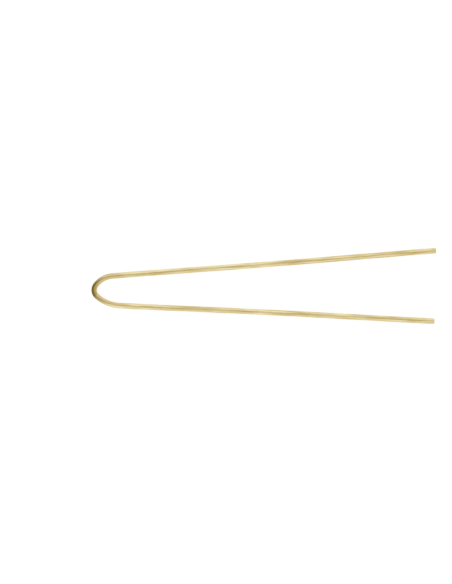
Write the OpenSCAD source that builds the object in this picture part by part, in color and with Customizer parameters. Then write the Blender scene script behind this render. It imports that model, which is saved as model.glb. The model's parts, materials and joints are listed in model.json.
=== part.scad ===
// U-shaped hairpin of one round gold-coloured wire, lying flat on its side.
// The bow is at -X, the two tips are at +X, and Z is up.
// The origin is on the surface that the pin lies on, under the middle of its outline.
// The wire is one piece. It bends elastically, mostly where the legs leave the bow, and two flex
// points stand for that bending: the bow and each leg meet there at faces turned about one axis.

/* [Pin] */
// Overall length, from the outside of the crown to the longer tip
pin_l = 75; // [55:1:110]
// Angle between the two legs at rest, in degrees
leg_spread = 7.32; // [4:0.01:10]
// How far the left tip stops short of the right one
tip_lag = 0.55; // [0:0.05:1]

/* [Wire] */
// Diameter of the wire
wire_d = 1.2; // [0.9:0.1:1.6]
// Radius of the rounding round each cut end
tip_round = 0.22; // [0.05:0.01:0.4]

/* [Bow] */
// Centreline radius of the crown, the tight bend in the middle of the bow
crown_r = 1.82; // [1.4:0.01:2.6]
// Turn of the crown towards the right leg, in degrees
right_crown_turn = 37.2; // [28:0.1:50]
// Turn of the crown towards the left leg, in degrees
left_crown_turn = 48.5; // [38:0.1:60]
// Centreline radius of the bend between the crown and the right leg
right_flank_r = 4.9; // [3.2:0.1:7]
// Centreline radius of the bend between the crown and the left leg
left_flank_r = 8.35; // [5:0.01:10]

/* [Flex points] */
// Straight wire of the bow between its longer flank and the flex points
stub_l = 4.7; // [2:0.1:8]
// How much larger than the wire's radius the round face at a flex point is
knuckle_step = 0.2; // [0.1:0.05:0.5]
// Gap between the two round faces of a flex point
flex_gap = 0.05; // [0.03:0.01:0.1]

/* [Hidden] */
$fn = 64;
gold = "#d8bf7c";
// Step down in radius from the crown and the straight wire to the flanks, too small to see or feel.
// It keeps the bow's bends from sharing one skin where they run into each other
step = 0.002;
// How far the ends of a flank's bend run on into the crown and into the straight wire
lap = 0.02;

wire_r = wire_d / 2;
knuckle_r = wire_r + knuckle_step;
half_spread = leg_spread / 2;
// Turn from the middle of the crown to the straight leg
leg_turn = 90 - half_spread;

// Each side of the pin: the sign of its Y, its crown's turn and its flank's radius
right = [1, right_crown_turn, right_flank_r];
left = [-1, left_crown_turn, left_flank_r];

// Where a straight leg leaves its flank, measured from the middle of the crown
function root_x(side) = crown_r * (1 - cos(side[1])) + side[2] * (cos(side[1]) - cos(leg_turn));
function root_y(side) = crown_r * sin(side[1]) + side[2] * (sin(leg_turn) - sin(side[1]));

// Both flex points lie on one line across the pin
flex_x = max(root_x(right), root_x(left)) + stub_l;
function stub_run(side) = (flex_x - root_x(side)) / cos(half_spread);
function flex_y(side) = root_y(side) + stub_run(side) * sin(half_spread);

// Length of each leg's axis, from its flex point to its cut end
corner_r = wire_r - tip_round;
right_leg_l = (pin_l - wire_r - flex_x - corner_r * sin(half_spread) - tip_round)
    / cos(half_spread) + tip_round;
left_leg_l = right_leg_l - tip_lag / cos(half_spread);

// How far a leg's tip reaches from the pin's middle line, out to the wire's skin
function reach_y(side, leg_l) = flex_y(side) + (leg_l - tip_round) * sin(half_spread)
    + corner_r * cos(half_spread) + tip_round;

// Place of the crown's centreline
crown_x = wire_r - pin_l / 2;
crown_y = (reach_y(left, left_leg_l) - reach_y(right, right_leg_l)) / 2;

// Moves a child from the crown's own frame to the pin's
module at_crown() {
    translate([crown_x, crown_y, wire_r]) children();
}

// A bend of wire round the origin, from one angle to another
module wire_bend(r, from, to, d = wire_d) {
    rotate([0, 0, from])
        rotate_extrude(angle = to - from)
            translate([r, 0])
                circle(d = d);
}

// Straight wire along +X
module wire_run(length) {
    rotate([0, 90, 0])
        cylinder(d = wire_d, h = length);
}

// Straight wire along +X whose far end is cut square and rounded at the edge
module wire_end(length) {
    rotate([0, 90, 0])
        rotate_extrude()
            union() {
                square([wire_r, length - tip_round]);
                square([corner_r, length]);
                translate([corner_r, length - tip_round])
                    intersection() {
                        circle(r = tip_round);
                        square(tip_round);
                    }
            }
}

// Half of the bow on one side, from the crown's end to the flex point
module flank(side) {
    centre_r = side[2] - crown_r;
    lap_turn = lap / side[2] * 180 / PI;
    mirror([0, side[0] < 0 ? 1 : 0, 0]) {
        translate([crown_r + centre_r * cos(side[1]), -centre_r * sin(side[1]), 0])
            wire_bend(side[2], 180 - leg_turn - lap_turn, 180 - side[1] + lap_turn,
                wire_d - 2 * step);
        translate([root_x(side), root_y(side), 0])
            rotate([0, 0, half_spread])
                wire_run(stub_run(side));
    }
}

// Round tool on a flex point's axis
module knuckle(side, r) {
    translate([flex_x, side[0] * flex_y(side), 0])
        cylinder(r = r, h = 2 * wire_d, center = true);
}

module bow() {
    color(gold)
        at_crown()
            difference() {
                union() {
                    translate([crown_r, 0, 0])
                        wire_bend(crown_r, 180 - right_crown_turn, 180 + left_crown_turn);
                    flank(right);
                    flank(left);
                }
                knuckle(right, knuckle_r + flex_gap);
                knuckle(left, knuckle_r + flex_gap);
            }
}

// A leg: its round root, the straight wire and the cut end
module leg(side, leg_l) {
    color(gold)
        at_crown()
            translate([flex_x, side[0] * flex_y(side), 0])
                rotate([0, 0, side[0] * half_spread]) {
                    wire_end(leg_l);
                    intersection() {
                        translate([-knuckle_r, 0, 0])
                            wire_run(knuckle_r);
                        cylinder(r = knuckle_r, h = 2 * wire_d, center = true);
                    }
                }
}

module right_leg() {
    leg(right, right_leg_l);
}

module left_leg() {
    leg(left, left_leg_l);
}

bow();
right_leg();
left_leg();
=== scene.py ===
"""A U-shaped hairpin, bent from one gold-plated brass wire, and the pale studio that it lies in.

One Geometry Nodes tree sweeps the wire along its centreline, from the left tip round the bow to the
right tip. It comes in three pieces that meet face to face: the bow, and two legs."""

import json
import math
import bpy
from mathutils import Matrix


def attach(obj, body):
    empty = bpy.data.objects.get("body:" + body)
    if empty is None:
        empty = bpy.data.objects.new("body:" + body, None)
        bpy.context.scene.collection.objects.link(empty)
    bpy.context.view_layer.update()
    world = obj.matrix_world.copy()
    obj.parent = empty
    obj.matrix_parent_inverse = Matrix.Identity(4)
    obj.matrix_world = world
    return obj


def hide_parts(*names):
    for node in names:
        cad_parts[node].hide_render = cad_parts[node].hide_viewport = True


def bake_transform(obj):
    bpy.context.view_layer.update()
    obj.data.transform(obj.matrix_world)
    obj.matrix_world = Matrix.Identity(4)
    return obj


bl_info = {
    "name": "Wire hairpin",
    "version": (1, 0, 0),
    "blender": (4, 5, 0),
    "location": "3D View > Sidebar > Hairpin",
    "description": "Builds a U-shaped hairpin of gold-plated wire and the studio that it lies in",
    "category": "Add Mesh",
}

from types import SimpleNamespace

import bpy
from bpy.props import FloatProperty, FloatVectorProperty, IntProperty, PointerProperty
from mathutils import Vector

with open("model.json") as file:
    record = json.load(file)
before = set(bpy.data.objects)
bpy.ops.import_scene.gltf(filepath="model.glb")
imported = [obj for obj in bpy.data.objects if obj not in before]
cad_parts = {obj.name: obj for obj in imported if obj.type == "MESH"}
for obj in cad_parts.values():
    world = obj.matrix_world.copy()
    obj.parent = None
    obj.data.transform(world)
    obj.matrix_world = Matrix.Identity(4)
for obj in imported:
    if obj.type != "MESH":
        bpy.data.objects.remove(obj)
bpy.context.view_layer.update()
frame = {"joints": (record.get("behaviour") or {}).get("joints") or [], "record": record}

MM = 0.001
UP = Vector((0, 0, 1))
MOUNTS = {mount["name"]: mount for mount in frame["record"]["mounts"]}
JOINTS = {joint["name"]: joint for joint in frame["joints"]}
CROWN = Vector(MOUNTS["crown_wrap"]["pos_m"])
# Which side of the pin each leg is on: 1 towards +Y, -1 towards -Y
HANDS = {"right_leg": 1, "left_leg": -1}
# Distance of a seam between two pieces from where the leg starts to bend
SEAM_CLEARANCE = 0.1 * MM
# Number of rings of the mesh on the rounding of a cut end
END_RINGS = 9
# Most values of a noise texture lie between these two
NOISE_RANGE = (0.35, 0.65)
# Finer layers of noise inside each mark on the plating
NOISE_LAYERS = 3.0
# The side panels start and are full at these sines of the turn away from the pin's length
PANEL_TURN = (0.5, 1.0)
# They also start and are full at these sideways parts of a direction, so that they fade out overhead
PANEL_TILT = (0.1, 0.5)
# The room starts and stops brightening at these forward parts of a direction
ROOM_GRADE = (-0.6, 0.3)


def linear(hex_colour):
    """The linear colour of an sRGB hex value such as #DCC184."""
    shares = [int(hex_colour[i : i + 2], 16) / 255 for i in (1, 3, 5)]
    return tuple(c / 12.92 if c <= 0.04045 else ((c + 0.055) / 1.055) ** 2.4 for c in shares)


class HairpinWire(bpy.types.PropertyGroup):
    """The wire's sizes. Where the wire runs comes from the frame's mounts and joints."""

    diameter: FloatProperty(
        name="Diameter",
        description="Thickness of the round wire",
        default=2 * MOUNTS["right_leg_pin"]["dims"]["r_mm"] * MM,
        min=0.0005,
        max=0.003,
        precision=5,
        unit="LENGTH",
    )
    crown_radius: FloatProperty(
        name="Crown radius",
        description="Centreline radius of the tight bend in the middle of the bow",
        default=1.82 * MM,
        min=0.001,
        max=0.003,
        precision=5,
        unit="LENGTH",
    )
    leg_curve: FloatProperty(
        name="Leg curve",
        description="How far each leg's middle lies inward of the straight line from its root to its tip",
        default=0.12 * MM,
        min=0.0,
        max=0.0005,
        precision=5,
        unit="LENGTH",
    )
    end_rounding: FloatProperty(
        name="End rounding",
        description="Radius of the rounding round each cut end",
        default=0.22 * MM,
        min=0.0,
        max=0.0005,
        precision=5,
        unit="LENGTH",
    )
    bend_reach: FloatProperty(
        name="Bend reach",
        description="How far a leg's bend reaches on each side of its flex point",
        default=4.5 * MM,
        min=0.001,
        max=0.0046,
        precision=5,
        unit="LENGTH",
    )
    ring_spacing: FloatProperty(
        name="Ring spacing",
        description="Distance between the rings of the mesh on straight wire",
        default=0.5 * MM,
        min=0.0001,
        max=0.005,
        precision=5,
        unit="LENGTH",
    )
    ring_turn: FloatProperty(
        name="Ring turn",
        description="Turn between the rings of the mesh on bent wire",
        default=math.radians(3),
        min=math.radians(1),
        max=math.radians(15),
        subtype="ANGLE",
    )
    sides: IntProperty(
        name="Sides",
        description="Number of faces round the wire",
        default=48,
        min=12,
        max=128,
    )


class HairpinGold(bpy.types.PropertyGroup):
    """The plating's colours and the marks on it."""

    colour: FloatVectorProperty(
        name="Gold",
        description="Colour of the streaks where the plating is bright",
        default=linear("#EFE3B6"),
        min=0.0,
        max=1.0,
        subtype="COLOR",
    )
    shade: FloatVectorProperty(
        name="Shade",
        description="Colour of the streaks where the plating is thin",
        default=linear("#CFBA7F"),
        min=0.0,
        max=1.0,
        subtype="COLOR",
    )
    streak_width: FloatProperty(
        name="Streak width",
        description="Width of the streaks of lighter and deeper gold along the wire",
        default=0.5 * MM,
        min=0.00005,
        max=0.002,
        precision=5,
        unit="LENGTH",
    )
    streak_length: FloatProperty(
        name="Streak length",
        description="Length over which a streak fades in and out",
        default=6 * MM,
        min=0.001,
        max=0.05,
        precision=4,
        unit="LENGTH",
    )
    roughness: FloatProperty(
        name="Roughness",
        description="Roughness of the polished wire",
        default=0.3,
        min=0.02,
        max=0.6,
        subtype="FACTOR",
    )
    gloss_change: FloatProperty(
        name="Gloss change",
        description="How far the roughness of a draw line departs from the wire's",
        default=0.04,
        min=0.0,
        max=0.2,
        subtype="FACTOR",
    )
    line_width: FloatProperty(
        name="Draw line width",
        description="Width of the fine lines that the die leaves along the wire",
        default=0.05 * MM,
        min=0.00001,
        max=0.0005,
        precision=6,
        unit="LENGTH",
    )
    line_length: FloatProperty(
        name="Draw line length",
        description="Length over which a draw line fades in and out",
        default=6 * MM,
        min=0.001,
        max=0.05,
        precision=4,
        unit="LENGTH",
    )
    line_depth: FloatProperty(
        name="Draw line depth",
        description="Depth of the draw lines",
        default=0.0014 * MM,
        min=0.0,
        max=0.00002,
        precision=6,
        unit="LENGTH",
    )
    highlight_spread: FloatProperty(
        name="Highlight spread",
        description="How far the draw lines spread a highlight across the wire instead of along it",
        default=0.9,
        min=0.0,
        max=1.0,
        subtype="FACTOR",
    )
    pattern_shift: FloatProperty(
        name="Pattern shift",
        description="How many mark lengths the lines and streaks are moved along the wire",
        default=40.0,
        min=0.0,
        max=1000.0,
    )


class HairpinStudio(bpy.types.PropertyGroup):
    """The camera, the floor and the light."""

    focal_length: FloatProperty(
        name="Focal length",
        description="Focal length in millimetres",
        default=120.0,
        min=20.0,
        max=300.0,
    )
    sensor_width: FloatProperty(
        name="Sensor width",
        description="Width of the camera's sensor in millimetres",
        default=36.0,
        min=10.0,
        max=100.0,
    )
    field: FloatProperty(
        name="Field",
        description="Length that the picture's long side spans at the wire",
        default=126.9 * MM,
        min=0.05,
        max=1.0,
        unit="LENGTH",
    )
    roll: FloatProperty(
        name="Roll",
        description="Turn of the pin in the picture, anticlockwise",
        default=math.radians(0.82),
        min=-math.pi,
        max=math.pi,
        subtype="ANGLE",
    )
    ahead: FloatProperty(
        name="Ahead of the crown",
        description="How far the picture's middle is from the crown, towards the tips",
        default=28.65 * MM,
        min=-0.1,
        max=0.1,
        precision=5,
        unit="LENGTH",
    )
    aside: FloatProperty(
        name="Beside the crown",
        description="How far the picture's middle is from the crown, towards the left leg",
        default=0.81 * MM,
        min=-0.1,
        max=0.1,
        precision=5,
        unit="LENGTH",
    )
    floor_width: FloatProperty(
        name="Floor width",
        description="Length of each side of the square floor",
        default=1.2,
        min=0.2,
        max=10.0,
        unit="LENGTH",
    )
    floor_tone: FloatProperty(
        name="Floor tone",
        description="Share of the light on it that the floor throws back, which its shadows lose",
        default=0.25,
        min=0.0,
        max=1.0,
        subtype="FACTOR",
    )
    floor_glow: FloatProperty(
        name="Floor glow",
        description="Brightness that the floor has of its own, which keeps its shadows faint",
        default=0.8,
        min=0.0,
        max=1.0,
    )
    floor_fade: FloatProperty(
        name="Floor fade",
        description="Length over which the floor's reflection fades into the room, straight behind the bow",
        default=4 * MM,
        min=0.0001,
        max=0.1,
        precision=4,
        unit="LENGTH",
    )
    light_turn: FloatProperty(
        name="Light turn",
        description="Turn of the room's dim end away from straight behind the bow, towards the right leg",
        default=math.radians(3),
        min=-math.pi,
        max=math.pi,
        subtype="ANGLE",
    )
    side_light: FloatProperty(
        name="Side light",
        description="Brightness of the soft panels along the pin's two sides, as the wire reflects them",
        default=1.1,
        min=0.0,
        max=4.0,
    )
    room_behind: FloatProperty(
        name="Room behind the bow",
        description="Brightness of the room at the bow's end, as the wire reflects it",
        default=0.22,
        min=0.0,
        max=4.0,
    )
    room_ahead: FloatProperty(
        name="Room ahead of the tips",
        description="Brightness of the room at the tips' end, as the wire reflects it",
        default=0.54,
        min=0.0,
        max=4.0,
    )
    room_colour: FloatVectorProperty(
        name="Room colour",
        description="Colour of the room between the soft panels",
        default=linear("#FFE6A2"),
        min=0.0,
        max=1.0,
        subtype="COLOR",
    )


def grey(brightness):
    """The opaque grey of this brightness; 1 is white."""
    return (brightness, brightness, brightness, 1)


def add(tree, kind, inputs=None, **settings):
    """Adds a node to a tree with its settings.

    An input takes a plain value, an output to be linked, or a node, for the first output it has in use."""
    made = tree.nodes.new(kind)
    for name, value in settings.items():
        setattr(made, name, value)
    for name, value in (inputs or {}).items():
        if isinstance(value, bpy.types.Node):
            value = next(output for output in value.outputs if output.enabled)
        if isinstance(value, bpy.types.NodeSocket):
            tree.links.new(value, made.inputs[name])
        else:
            made.inputs[name].default_value = value
    return made


def side(leg):
    """Where the wire runs on one leg's side: crown, flank and straight leg, from its mount and joint."""
    wire = bpy.context.scene.hairpin_wire
    pin = MOUNTS[leg + "_pin"]
    axis = Vector(pin["axis"]).normalized()
    inwards = axis.cross(UP) * HANDS[leg]
    middle = Vector(pin["pos_m"])
    half = pin["dims"]["length_mm"] / 2 * MM
    root = middle - axis * half
    crown_centre = CROWN + Vector((wire.crown_radius, 0, 0))
    # The flank is the one arc that runs into the straight leg and the crown without a corner: its
    # circle holds the crown's, and their centres are as far apart as their radii differ
    to_root = root - crown_centre
    flank_radius = (wire.crown_radius**2 - to_root.length_squared) / (
        2 * (inwards.dot(to_root) + wire.crown_radius)
    )
    flank_centre = root + inwards * flank_radius
    outwards = (crown_centre - flank_centre).normalized()
    pivot = Vector(JOINTS[leg + "_flex"]["pos_m"])
    return SimpleNamespace(
        axis=axis,
        inwards=inwards,
        crown_centre=crown_centre,
        flank_centre=flank_centre,
        bend_change=crown_centre + outwards * wire.crown_radius,
        root=root,
        pivot=pivot,
        seam=pivot - axis * (wire.bend_reach + SEAM_CLEARANCE),
        tip=middle + axis * (half + wire.end_rounding),
    )


def arc(centre, start, end):
    """Points on an arc, from start to end the short way, without start itself."""
    turn = (start - centre).angle(end - centre)
    steps = math.ceil(turn / bpy.context.scene.hairpin_wire.ring_turn)
    normal = (start - centre).cross(end - centre).normalized()
    across = normal.cross(start - centre)
    angles = [turn * i / steps for i in range(1, steps + 1)]
    return [centre + (start - centre) * math.cos(a) + across * math.sin(a) for a in angles]


def line(start, end):
    """Points on a straight line, from start to end, without start itself."""
    steps = math.ceil((end - start).length / bpy.context.scene.hairpin_wire.ring_spacing)
    return [start.lerp(end, i / steps) for i in range(1, steps + 1)]


def curved(route, points):
    """Points of a leg's straight axis, moved in by the leg's slight curve."""
    depth = bpy.context.scene.hairpin_wire.leg_curve
    shares = [(point - route.root).length / (route.tip - route.root).length for point in points]
    waves = [(1 - math.cos(2 * math.pi * share)) / 2 for share in shares]
    return [point + route.inwards * depth * wave for point, wave in zip(points, waves)]


def bow_half(route):
    """The centreline from the crown, without its first point, to one seam of the bow."""
    crown = arc(route.crown_centre, CROWN, route.bend_change)
    flank = arc(route.flank_centre, route.bend_change, route.root)
    return crown + flank + curved(route, line(route.root, route.seam))


def leg_run(route):
    """The centreline of a leg from its seam to its tip, with close rings on the tip's rounding."""
    rounding = bpy.context.scene.hairpin_wire.end_rounding
    shoulder = route.tip - route.axis * rounding
    angles = [math.pi / 2 * i / END_RINGS for i in range(1, END_RINGS + 1)]
    end = [shoulder + route.axis * rounding * math.sin(a) for a in angles]
    return curved(route, [route.seam] + line(route.seam, shoulder)) + end


def run_length(points):
    """Length of the line through the points."""
    return sum((b - a).length for a, b in zip(points, points[1:]))


def drawn_wire_tree():
    """The tree that sweeps round wire along a line of edges, with rounded ends.

    It leaves two attributes for the material: straight, each point's place on the wire as it was
    before it was bent, with X along it from the crown, Y across it in the pin's plane and Z up; and
    grain, the way that the draw lines run."""
    tree = bpy.data.node_groups.new("drawn_wire", "GeometryNodeTree")
    sockets = tree.interface
    sockets.new_socket("Geometry", in_out="OUTPUT", socket_type="NodeSocketGeometry")
    sockets.new_socket("Centreline", in_out="INPUT", socket_type="NodeSocketGeometry")
    for name in ("Diameter", "Start rounding", "End rounding", "Starts at"):
        sockets.new_socket(name, in_out="INPUT", socket_type="NodeSocketFloat").subtype = "DISTANCE"
    sockets.new_socket("Sides", in_out="INPUT", socket_type="NodeSocketInt")
    sockets.new_socket("Finish", in_out="INPUT", socket_type="NodeSocketMaterial")
    given = add(tree, "NodeGroupInput").outputs

    radius = add(tree, "ShaderNodeMath", {0: given["Diameter"], 1: 2.0}, operation="DIVIDE")
    path = add(tree, "GeometryNodeMeshToCurve", {"Mesh": given["Centreline"]})
    upright = add(tree, "GeometryNodeSetCurveNormal", {"Curve": path}, mode="Z_UP")
    place = add(tree, "GeometryNodeSplineParameter").outputs["Length"]
    whole = add(tree, "GeometryNodeSplineLength").outputs["Length"]
    to_end = add(tree, "ShaderNodeMath", {0: whole, 1: place}, operation="SUBTRACT")
    position = add(tree, "GeometryNodeInputPosition").outputs[0]
    tangent = add(tree, "GeometryNodeInputTangent").outputs[0]

    def rounded(distance, rounding):
        """The wire's radius at a distance from a cut end, which a quarter circle rounds."""
        near = add(tree, "ShaderNodeMath", {0: distance, 1: rounding}, operation="MINIMUM")
        twice = add(tree, "ShaderNodeMath", {0: rounding, 1: 2.0}, operation="MULTIPLY")
        far = add(tree, "ShaderNodeMath", {0: twice, 1: near}, operation="SUBTRACT")
        area = add(tree, "ShaderNodeMath", {0: near, 1: far}, operation="MULTIPLY")
        rise = add(tree, "ShaderNodeMath", {0: area}, operation="SQRT")
        flat = add(tree, "ShaderNodeMath", {0: radius, 1: rounding}, operation="SUBTRACT")
        return add(tree, "ShaderNodeMath", {0: flat, 1: rise}, operation="ADD")

    start = rounded(place, given["Start rounding"])
    end = rounded(to_end, given["End rounding"])
    least = add(tree, "ShaderNodeMath", {0: start, 1: end}, operation="MINIMUM")
    scale = add(tree, "ShaderNodeMath", {0: least, 1: radius}, operation="DIVIDE").outputs[0]

    kept = add(tree, "GeometryNodeCaptureAttribute")
    tree.links.new(upright.outputs[0], kept.inputs["Geometry"])
    for name, value in (("along", place), ("centre", position), ("forward", tangent), ("scale", scale)):
        kept.capture_items.new("VECTOR" if value.type == "VECTOR" else "FLOAT", name)
        tree.links.new(value, kept.inputs[name])
    along, centre, forward, scale = (kept.outputs[name] for name in ("along", "centre", "forward", "scale"))
    ring = {"Resolution": given["Sides"], "Radius": radius}
    profile = add(tree, "GeometryNodeCurvePrimitiveCircle", ring, mode="RADIUS")
    sweep = {
        "Curve": kept.outputs["Geometry"],
        "Profile Curve": profile,
        "Scale": scale,
        "Fill Caps": True,
    }
    tube = add(tree, "GeometryNodeCurveToMesh", sweep)

    from_centre = add(tree, "ShaderNodeVectorMath", {0: position, 1: centre}, operation="SUBTRACT")
    leftwards = add(tree, "ShaderNodeVectorMath", {0: UP, 1: forward}, operation="CROSS_PRODUCT")
    out = add(tree, "ShaderNodeMath", {0: along, 1: given["Starts at"]}, operation="ADD")
    across = add(tree, "ShaderNodeVectorMath", {0: from_centre, 1: leftwards}, operation="DOT_PRODUCT")
    height = add(tree, "ShaderNodeSeparateXYZ", {0: from_centre}).outputs["Z"]
    straight = add(tree, "ShaderNodeCombineXYZ", {"X": out, "Y": across, "Z": height})
    # On a cut end the lines would point straight out of it, so they lean over there and lie on it
    lean = add(tree, "ShaderNodeMath", {0: 1.0, 1: scale}, operation="SUBTRACT")
    leaning = add(tree, "ShaderNodeVectorMath", {0: leftwards, "Scale": lean}, operation="SCALE")
    grain = add(tree, "ShaderNodeVectorMath", {0: forward, 1: leaning}, operation="ADD")

    result = tube
    for name, value in (("straight", straight), ("grain", grain)):
        result = add(
            tree,
            "GeometryNodeStoreNamedAttribute",
            {"Geometry": result, "Name": name, "Value": value},
            data_type="FLOAT_VECTOR",
            domain="POINT",
        )
    real = add(tree, "GeometryNodeRealizeInstances", {"Geometry": result})
    finished = add(tree, "GeometryNodeSetMaterial", {"Geometry": real, "Material": given["Finish"]})
    add(tree, "NodeGroupOutput", {"Geometry": finished})
    return tree


def wire_piece(name, points, starts_at, start_rounding=0.0, end_rounding=0.0):
    """A piece of wire as a plain mesh, swept along the points by the drawn-wire tree."""
    wire = bpy.context.scene.hairpin_wire
    line_mesh = bpy.data.meshes.new(name)
    line_mesh.from_pydata(points, [(i, i + 1) for i in range(len(points) - 1)], [])
    piece = bpy.data.objects.new(name, line_mesh)
    bpy.context.scene.collection.objects.link(piece)
    tree = bpy.data.node_groups.get("drawn_wire") or drawn_wire_tree()
    sweep = piece.modifiers.new("drawn wire", "NODES")
    sweep.node_group = tree
    values = {
        "Diameter": wire.diameter,
        "Start rounding": start_rounding,
        "End rounding": end_rounding,
        "Starts at": starts_at,
        "Sides": wire.sides,
        "Finish": bpy.data.materials.get("gold_plated_wire") or gold_plated_wire(),
    }
    for socket in tree.interface.items_tree:
        if socket.name in values:
            sweep[socket.identifier] = values[socket.name]
    solid = bpy.data.meshes.new_from_object(piece.evaluated_get(bpy.context.evaluated_depsgraph_get()))
    piece.modifiers.remove(sweep)
    piece.data = solid
    solid.name = name
    bpy.data.meshes.remove(line_mesh)
    return piece


def empty_tree(owner):
    """The node tree of a new material or world, without the nodes that it starts with."""
    owner.use_nodes = True
    owner.node_tree.nodes.clear()
    return owner.node_tree


def gold_plated_wire():
    """Gold plate on drawn brass wire, polished by tumbling.

    The plating is bright and warm, in long streaks of lighter and deeper gold where it is thicker or
    thinner. The die leaves fine lines along the wire, and they spread its highlights crosswise. Real
    lines are 5 to 20 microns wide; these are 50, so that they show in a close view."""
    gold = bpy.context.scene.hairpin_gold
    made = bpy.data.materials.new("gold_plated_wire")
    tree = empty_tree(made)
    straight = add(tree, "ShaderNodeAttribute", attribute_name="straight").outputs["Vector"]
    grain = add(tree, "ShaderNodeAttribute", attribute_name="grain").outputs["Vector"]

    def drawn_out(width, length):
        """Noise drawn out along the wire, in marks of this width and length."""
        stretch = (1 / length, 1 / width, 1 / width)
        shift = (gold.pattern_shift, 0, 0)
        vector = add(tree, "ShaderNodeMapping", {"Vector": straight, "Scale": stretch, "Location": shift})
        return add(tree, "ShaderNodeTexNoise", {"Vector": vector, "Scale": 1.0, "Detail": NOISE_LAYERS})

    lowest, highest = NOISE_RANGE
    streaks = drawn_out(gold.streak_width, gold.streak_length)
    share = add(tree, "ShaderNodeMapRange", {"Value": streaks, "From Min": lowest, "From Max": highest})
    tones = {"Factor": share, "A": (*gold.colour, 1), "B": (*gold.shade, 1)}
    colour = add(tree, "ShaderNodeMix", tones, data_type="RGBA")
    lines = drawn_out(gold.line_width, gold.line_length)
    finish = {
        "Value": lines,
        "From Min": lowest,
        "From Max": highest,
        "To Min": gold.roughness - gold.gloss_change,
        "To Max": gold.roughness + gold.gloss_change,
    }
    gloss = add(tree, "ShaderNodeMapRange", finish)
    relief = add(tree, "ShaderNodeBump", {"Height": lines, "Strength": 1.0, "Distance": gold.line_depth})
    # The lines lie along the wire, so a highlight spreads across it, a quarter turn from the grain
    plate = {
        "Base Color": colour,
        "Metallic": 1.0,
        "Roughness": gloss,
        "Normal": relief,
        "Tangent": grain,
        "Anisotropic": gold.highlight_spread,
        "Anisotropic Rotation": 0.25,
    }
    surface = add(tree, "ShaderNodeBsdfPrincipled", plate)
    add(tree, "ShaderNodeOutputMaterial", {"Surface": surface})
    return made


class HAIRPIN_OT_bow(bpy.types.Operator):
    """Make the bow, from seam to seam round the crown"""

    bl_idname = "hairpin.bow"
    bl_label = "Bow"

    def execute(self, context):
        right_half = bow_half(side("right_leg"))
        left_half = bow_half(side("left_leg"))
        points = left_half[::-1] + [CROWN] + right_half
        bow = wire_piece("bow_wire", points, starts_at=-run_length([CROWN] + left_half))
        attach(bow, "bow")
        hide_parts("bow")
        return {"FINISHED"}


class HAIRPIN_OT_legs(bpy.types.Operator):
    """Make the two legs, from their seams to their cut ends"""

    bl_idname = "hairpin.legs"
    bl_label = "Legs"

    def execute(self, context):
        wire = context.scene.hairpin_wire
        for leg, hand in HANDS.items():
            route = side(leg)
            points = leg_run(route)
            from_crown = run_length([CROWN] + bow_half(route))
            name = leg + "_wire"
            # Both legs run the same way as the bow, so the left one starts at its cut end
            if hand > 0:
                piece = wire_piece(name, points, from_crown, end_rounding=wire.end_rounding)
            else:
                starts_at = -from_crown - run_length(points)
                piece = wire_piece(name, points[::-1], starts_at, start_rounding=wire.end_rounding)
            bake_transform(piece)
            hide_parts(leg)
        return {"FINISHED"}


def look_down_camera(studio):
    """The camera above the pin, looking straight down at its bow and legs."""
    camera = bpy.data.cameras.new("camera")
    camera.sensor_width = studio.sensor_width
    camera.lens = studio.focal_length
    camera.clip_start = 0.01
    camera.clip_end = 10.0
    eye = bpy.data.objects.new("camera", camera)
    distance = studio.field * studio.focal_length / studio.sensor_width
    eye.location = CROWN + Vector((studio.ahead, -studio.aside, distance))
    eye.rotation_euler = (0, 0, -studio.roll)
    bpy.context.scene.collection.objects.link(eye)
    bpy.context.scene.camera = eye


def white_paper(studio):
    """Matt white paper, with a white of its own that keeps the pin's shadow faint.

    In the wire's reflections it ends straight behind the bow, where the dim room takes its place."""
    made = bpy.data.materials.new("white_paper")
    tree = empty_tree(made)
    place = add(tree, "ShaderNodeTexCoord").outputs["Object"]
    forward = add(tree, "ShaderNodeSeparateXYZ", {0: place}).outputs["X"]
    fade = {
        "Value": forward,
        "From Min": CROWN.x - studio.floor_fade,
        "From Max": CROWN.x,
        "To Min": 1.0,
        "To Max": 0.0,
    }
    behind = add(tree, "ShaderNodeMapRange", fade, interpolation_type="SMOOTHSTEP")
    glossy = add(tree, "ShaderNodeLightPath").outputs["Is Glossy Ray"]
    share = add(tree, "ShaderNodeMath", {0: behind, 1: glossy}, operation="MULTIPLY")
    matt = add(tree, "ShaderNodeBsdfDiffuse", {"Color": grey(studio.floor_tone)})
    own = add(tree, "ShaderNodeEmission", {"Color": grey(1), "Strength": studio.floor_glow})
    paper = add(tree, "ShaderNodeAddShader", {0: matt, 1: own})
    dim = {"Color": (*studio.room_colour, 1), "Strength": studio.room_behind}
    room = add(tree, "ShaderNodeEmission", dim)
    seen = add(tree, "ShaderNodeMixShader", {0: share, 1: paper, 2: room})
    add(tree, "ShaderNodeOutputMaterial", {"Surface": seen})
    return made


def studio_floor(studio):
    """The square floor that the pin lies on."""
    half = studio.floor_width / 2
    mesh = bpy.data.meshes.new("floor")
    corners = [(-half, -half, 0), (half, -half, 0), (half, half, 0), (-half, half, 0)]
    mesh.from_pydata(corners, [], [(0, 1, 2, 3)])
    mesh.materials.append(white_paper(studio))
    floor = bpy.data.objects.new("floor", mesh)
    bpy.context.scene.collection.objects.link(floor)


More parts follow.
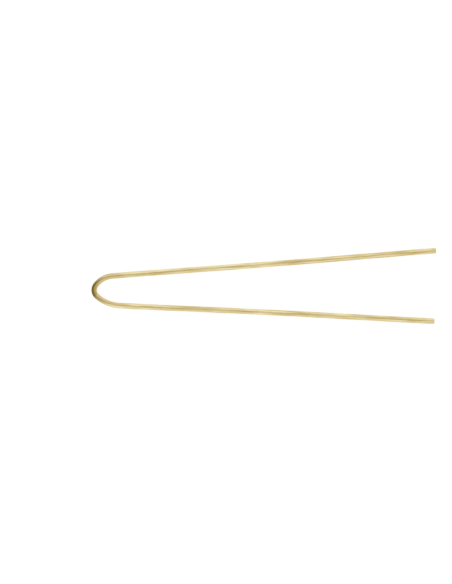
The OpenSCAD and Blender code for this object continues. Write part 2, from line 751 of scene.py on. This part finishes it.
def studio_light(studio):
    """The world: white to the camera and the floor, and graded where the wire reflects it.

    Soft panels light the pin from its two sides. The room between them is dim and warm, most so at
    the bow's end, and this draws the dark line along the wire and the bow's dark edge."""
    world = bpy.data.worlds.new("studio")
    bpy.context.scene.world = world
    tree = empty_tree(world)
    direction = add(tree, "ShaderNodeTexCoord").outputs["Generated"]
    turned = add(tree, "ShaderNodeMapping", {"Vector": direction, "Rotation": (0, 0, studio.light_turn)})
    forward, sideways, _ = add(tree, "ShaderNodeSeparateXYZ", {0: turned}).outputs
    aside = add(tree, "ShaderNodeMath", {0: sideways}, operation="ABSOLUTE")
    level = add(tree, "ShaderNodeVectorMath", {0: turned, 1: (1, 1, 0)}, operation="MULTIPLY")
    reach = add(tree, "ShaderNodeVectorMath", {0: level}, operation="LENGTH")
    turn = add(tree, "ShaderNodeMath", {0: aside, 1: reach}, operation="DIVIDE")
    turning = {"Value": turn, "From Min": PANEL_TURN[0], "From Max": PANEL_TURN[1]}
    abreast = add(tree, "ShaderNodeMapRange", turning, interpolation_type="SMOOTHSTEP")
    tilting = {"Value": aside, "From Min": PANEL_TILT[0], "From Max": PANEL_TILT[1]}
    lowered = add(tree, "ShaderNodeMapRange", tilting, interpolation_type="SMOOTHSTEP")
    panel = add(tree, "ShaderNodeMath", {0: abreast, 1: lowered}, operation="MULTIPLY")
    grade = {
        "Value": forward,
        "From Min": ROOM_GRADE[0],
        "From Max": ROOM_GRADE[1],
        "To Min": studio.room_behind,
        "To Max": studio.room_ahead,
    }
    room = add(tree, "ShaderNodeMapRange", grade, interpolation_type="SMOOTHSTEP")
    dim = add(tree, "ShaderNodeVectorMath", {0: studio.room_colour[:], "Scale": room}, operation="SCALE")
    lit = {"Factor": panel, "A": dim, "B": grey(studio.side_light)}
    seen = add(tree, "ShaderNodeMix", lit, data_type="RGBA")
    glossy = add(tree, "ShaderNodeLightPath").outputs["Is Glossy Ray"]
    colour = add(tree, "ShaderNodeMix", {"Factor": glossy, "A": grey(1), "B": seen}, data_type="RGBA")
    sky = add(tree, "ShaderNodeBackground", {"Color": colour, "Strength": 1.0})
    add(tree, "ShaderNodeOutputWorld", {"Surface": sky})


class HAIRPIN_OT_studio(bpy.types.Operator):
    """Set up the camera, the floor and the light"""

    bl_idname = "hairpin.studio"
    bl_label = "Studio"

    def execute(self, context):
        studio = context.scene.hairpin_studio
        look_down_camera(studio)
        studio_floor(studio)
        studio_light(studio)
        context.scene.view_settings.view_transform = "Standard"
        return {"FINISHED"}


class HAIRPIN_PT_build(bpy.types.Panel):
    """The hairpin's sizes and the buttons that build it"""

    bl_idname = "HAIRPIN_PT_build"
    bl_label = "Wire hairpin"
    bl_space_type = "VIEW_3D"
    bl_region_type = "UI"
    bl_category = "Hairpin"

    def draw(self, context):
        for group in (context.scene.hairpin_wire, context.scene.hairpin_gold, context.scene.hairpin_studio):
            box = self.layout.box()
            for name in group.__annotations__:
                box.prop(group, name)
        for operator in OPERATORS:
            self.layout.operator(operator.bl_idname)


OPERATORS = (HAIRPIN_OT_studio, HAIRPIN_OT_bow, HAIRPIN_OT_legs)
GROUPS = {
    "hairpin_wire": HairpinWire,
    "hairpin_gold": HairpinGold,
    "hairpin_studio": HairpinStudio,
}


def register():
    for cls in (*GROUPS.values(), *OPERATORS, HAIRPIN_PT_build):
        bpy.utils.register_class(cls)
    for name, group in GROUPS.items():
        setattr(bpy.types.Scene, name, PointerProperty(type=group))


def unregister():
    for name in GROUPS:
        delattr(bpy.types.Scene, name)
    for cls in reversed((*GROUPS.values(), *OPERATORS, HAIRPIN_PT_build)):
        bpy.utils.unregister_class(cls)


def main():
    register()
    bpy.ops.hairpin.studio()
    bpy.ops.hairpin.bow()
    bpy.ops.hairpin.legs()


if __name__ == "__main__":
    main()
